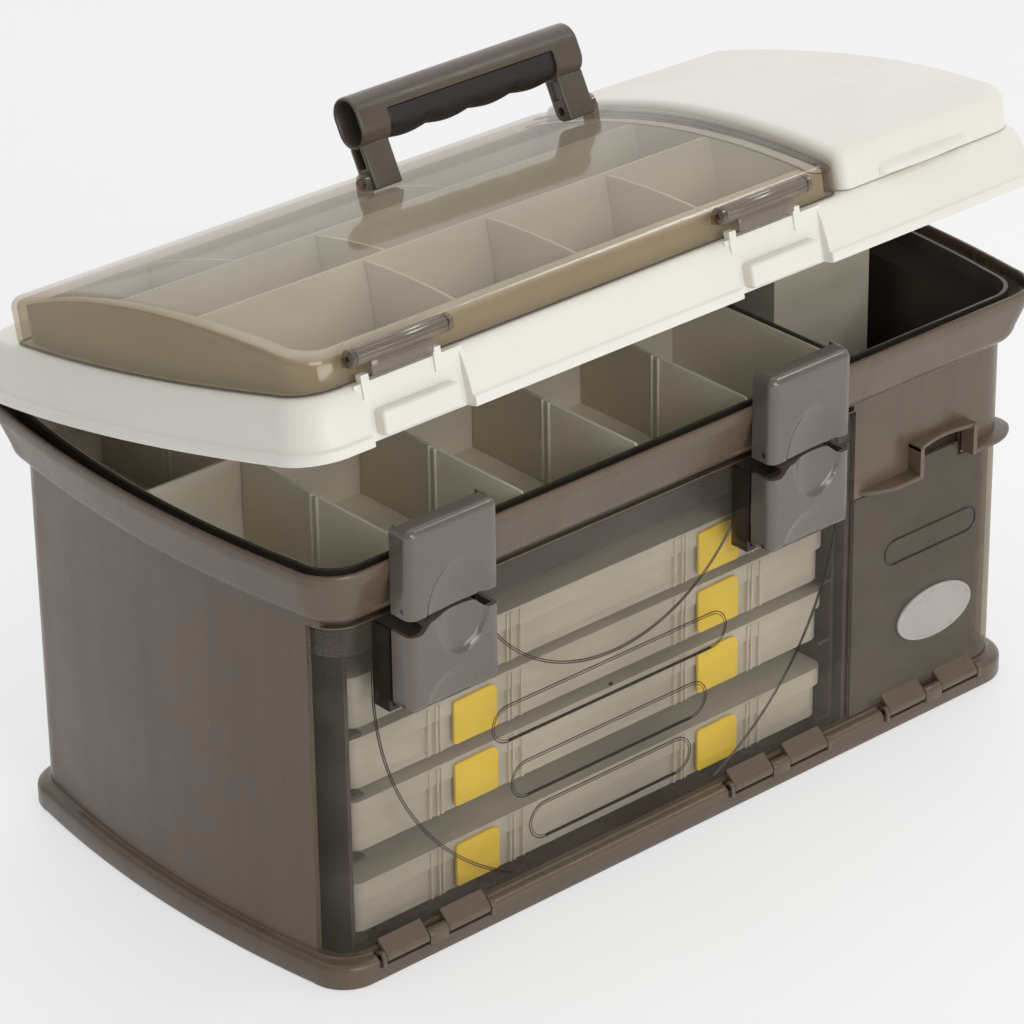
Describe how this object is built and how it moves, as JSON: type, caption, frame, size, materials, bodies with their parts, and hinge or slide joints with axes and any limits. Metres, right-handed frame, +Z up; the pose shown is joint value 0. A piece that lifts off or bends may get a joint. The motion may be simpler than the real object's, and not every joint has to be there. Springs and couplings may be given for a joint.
{
  "type": "fishing tackle cabinet",
  "caption": "Moulded tackle cabinet with a see-through drop door, utility boxes behind it, a side compartment, a divided top tray and a hinged lid with its own covered tray and carry handle.",
  "frame": {"origin": "centre of the flat underside of the case", "axes": "+X to the right along the front, +Y from the front to the back, +Z up; the doors face -Y"},
  "size_m": [0.57, 0.3323, 0.405],
  "materials": {
    "bronze_plastic": "fine matt moulding",
    "dark_plastic": "fine matt moulding",
    "tray_plastic": "fine matt moulding",
    "steel_pin": "plain",
    "ivory_plastic": "semi-gloss",
    "pale_tray_plastic": "fine matt moulding",
    "smoke_clear": "smooth, see-through smoke tint",
    "latch_plastic": "fine matt moulding",
    "handle_plastic": "fine matt moulding",
    "grip_rubber": "matt",
    "badge_plastic": "fine matt moulding",
    "box_clear": "smooth, see-through",
    "yellow_plastic": "fine matt moulding"
  },
  "bodies": {
    "cabinet": {"case_shell": "bronze_plastic", "bay_partition": "dark_plastic", "rack_left": "dark_plastic", "rack_right": "dark_plastic", "top_liner": "dark_plastic", "divided_tray": "tray_plastic", "tray_dividers": "tray_plastic", "well_divider": "tray_plastic", "door_hinge_brackets": "dark_plastic", "door_hinge_pins": "steel_pin", "side_hinge_brackets": "dark_plastic", "side_hinge_pin": "steel_pin", "latch_brackets": "bronze_plastic", "upper_latch_pins": "steel_pin", "lid_hinge_brackets": "bronze_plastic", "lid_hinge_pins": "steel_pin"},
    "lid": {"lid_shell": "ivory_plastic", "lid_tray": "pale_tray_plastic", "lid_tray_dividers": "pale_tray_plastic", "lid_hinge_arms": "ivory_plastic", "cover_hinge_lugs": "ivory_plastic", "cover_hinge_pins": "steel_pin", "bulk_hinge_lugs": "ivory_plastic", "bulk_hinge_pin": "steel_pin"},
    "tray_cover": {"tray_cover": "smoke_clear", "cover_hinge_barrels": "smoke_clear", "cover_latch_pins": "steel_pin", "handle_pins": "handle_plastic"},
    "cover_latch_left": {"cover_latch_left": "smoke_clear"},
    "cover_latch_right": {"cover_latch_right": "smoke_clear"},
    "handle": {"handle_frame": "handle_plastic", "handle_grip": "grip_rubber"},
    "bulk_cover": {"bulk_cover": "ivory_plastic", "bulk_hinge_barrel": "ivory_plastic"},
    "front_door": {"front_door": "smoke_clear", "front_door_barrels": "dark_plastic", "door_latch_brackets": "smoke_clear", "lower_latch_pins": "steel_pin"},
    "side_door": {"side_door": "smoke_clear", "side_door_barrels": "dark_plastic", "side_badge": "badge_plastic"},
    "upper_latch_left": {"upper_latch_left": "latch_plastic"},
    "upper_latch_right": {"upper_latch_right": "latch_plastic"},
    "lower_latch_left": {"lower_latch_left": "latch_plastic"},
    "lower_latch_right": {"lower_latch_right": "latch_plastic"},
    "box_1": {"box_1_base": "box_clear", "box_1_lid": "box_clear", "box_1_latches": "yellow_plastic"},
    "box_2": {"box_2_base": "box_clear", "box_2_lid": "box_clear", "box_2_latches": "yellow_plastic"},
    "box_3": {"box_3_base": "box_clear", "box_3_lid": "box_clear", "box_3_latches": "yellow_plastic"},
    "box_4": {"box_4_base": "box_clear", "box_4_lid": "box_clear", "box_4_latches": "yellow_plastic"}
  },
  "joints": [
    {"name": "lid_hinge", "type": "hinge", "parent": "cabinet", "child": "lid", "pos_m": [0, 0.158, 0.2575], "axis": [-1, 0, 0], "range_deg": [-12, 78]},
    {"name": "tray_cover_hinge", "type": "hinge", "parent": "lid", "child": "tray_cover", "pos_m": [0, 0.12161, 0.30275], "axis": [-1, 0, 0], "range_deg": [0, 85]},
    {"name": "bulk_cover_hinge", "type": "hinge", "parent": "lid", "child": "bulk_cover", "pos_m": [0.19, 0.12161, 0.30275], "axis": [-1, 0, 0], "range_deg": [0, 85]},
    {"name": "handle_pivot", "type": "hinge", "parent": "tray_cover", "child": "handle", "pos_m": [0.0075, 0.0451, 0.36123], "axis": [-1, 0, 0], "range_deg": [-16, 44]},
    {"name": "cover_latch_left_hinge", "type": "hinge", "parent": "tray_cover", "child": "cover_latch_left", "pos_m": [-0.202, -0.13263, 0.36824], "axis": [-1, 0, 0], "range_deg": [0, 70]},
    {"name": "cover_latch_right_hinge", "type": "hinge", "parent": "tray_cover", "child": "cover_latch_right", "pos_m": [0.056, -0.13263, 0.36824], "axis": [-1, 0, 0], "range_deg": [0, 70]},
    {"name": "front_door_hinge", "type": "hinge", "parent": "cabinet", "child": "front_door", "pos_m": [-0.064, -0.1415, 0.0135], "axis": [1, 0, 0], "range_deg": [0, 85]},
    {"name": "side_door_hinge", "type": "hinge", "parent": "cabinet", "child": "side_door", "pos_m": [0.192, -0.1415, 0.0135], "axis": [1, 0, 0], "range_deg": [0, 90]},
    {"name": "upper_latch_left_hinge", "type": "hinge", "parent": "cabinet", "child": "upper_latch_left", "pos_m": [-0.197, -0.1605, 0.2315], "axis": [1, 0, 0], "range_deg": [0, 90]},
    {"name": "upper_latch_right_hinge", "type": "hinge", "parent": "cabinet", "child": "upper_latch_right", "pos_m": [0.0625, -0.1605, 0.2315], "axis": [1, 0, 0], "range_deg": [0, 90]},
    {"name": "lower_latch_left_hinge", "type": "hinge", "parent": "front_door", "child": "lower_latch_left", "pos_m": [-0.197, -0.1605, 0.1753], "axis": [1, 0, 0], "range_deg": [0, 90]},
    {"name": "lower_latch_right_hinge", "type": "hinge", "parent": "front_door", "child": "lower_latch_right", "pos_m": [0.0625, -0.1605, 0.1753], "axis": [1, 0, 0], "range_deg": [0, 90]},
    {"name": "box_1_slide", "type": "slide", "parent": "cabinet", "child": "box_1", "axis": [0, -1, 0], "range_m": [0, 0.1489]},
    {"name": "box_2_slide", "type": "slide", "parent": "cabinet", "child": "box_2", "axis": [0, -1, 0], "range_m": [0, 0.1192]},
    {"name": "box_3_slide", "type": "slide", "parent": "cabinet", "child": "box_3", "axis": [0, -1, 0], "range_m": [0, 0.0821]},
    {"name": "box_4_slide", "type": "slide", "parent": "cabinet", "child": "box_4", "axis": [0, -1, 0], "range_m": [0, 0.0171]}
  ],
  "couplings": [
    {"joint": "box_1_slide", "follows": "front_door_hinge", "m_per_rad": 0.1},
    {"joint": "box_2_slide", "follows": "front_door_hinge", "m_per_rad": 0.08},
    {"joint": "box_3_slide", "follows": "front_door_hinge", "m_per_rad": 0.055},
    {"joint": "box_4_slide", "follows": "front_door_hinge", "m_per_rad": 0.0112}
  ]
}
